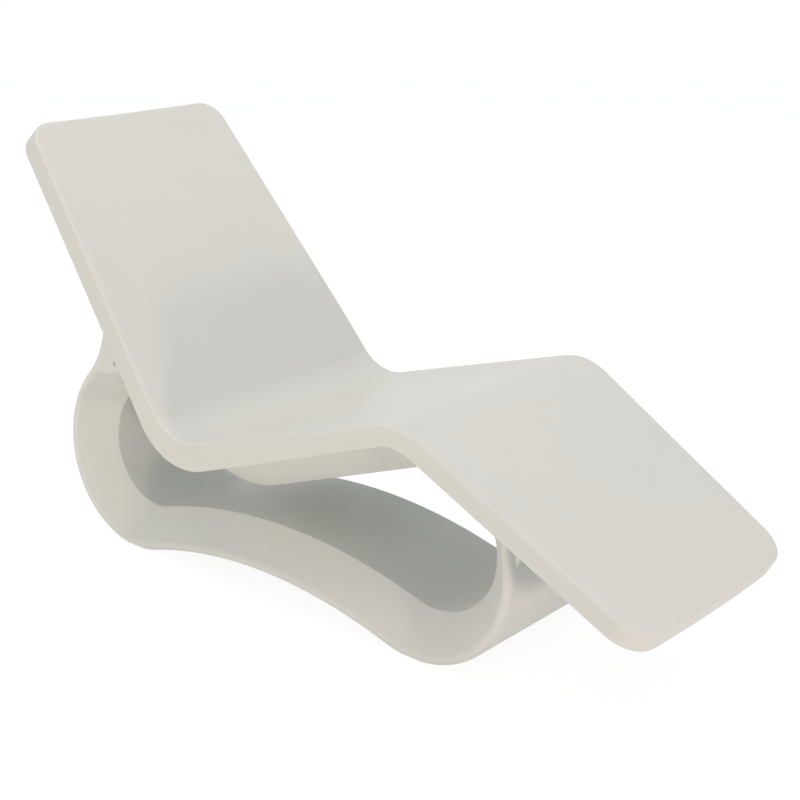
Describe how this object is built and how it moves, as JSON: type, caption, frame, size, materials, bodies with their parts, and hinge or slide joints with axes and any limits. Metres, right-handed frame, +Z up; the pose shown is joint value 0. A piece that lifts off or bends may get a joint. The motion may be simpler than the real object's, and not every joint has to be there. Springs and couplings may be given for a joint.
{
  "type": "sun lounger",
  "caption": "One-person plastic sun lounger: a long shell with a raised back, seat and falling leg rest on a closed, bevelled loop base with an arched sole.",
  "frame": {"origin": "on the floor, under the middle of the part's length and width", "axes": "+X runs from the head end to the foot end, +Y is the user's left when lying on it, +Z is up"},
  "size_m": [1.6626, 0.665, 0.9637],
  "materials": {
    "shell_plastic": "satin off-white moulded polyethylene with a very fine grain",
    "base_plastic": "satin off-white moulded polyethylene with a very fine grain",
    "plug_rubber": "matt light grey",
    "pad_rubber": "matt mid grey"
  },
  "bodies": {
    "root": {"lounging_shell": "shell_plastic", "loop_base": "base_plastic", "vent_plug": "plug_rubber", "rear_right_foot_pad": "pad_rubber", "rear_left_foot_pad": "pad_rubber", "front_right_foot_pad": "pad_rubber", "front_left_foot_pad": "pad_rubber"}
  },
  "joints": []
}
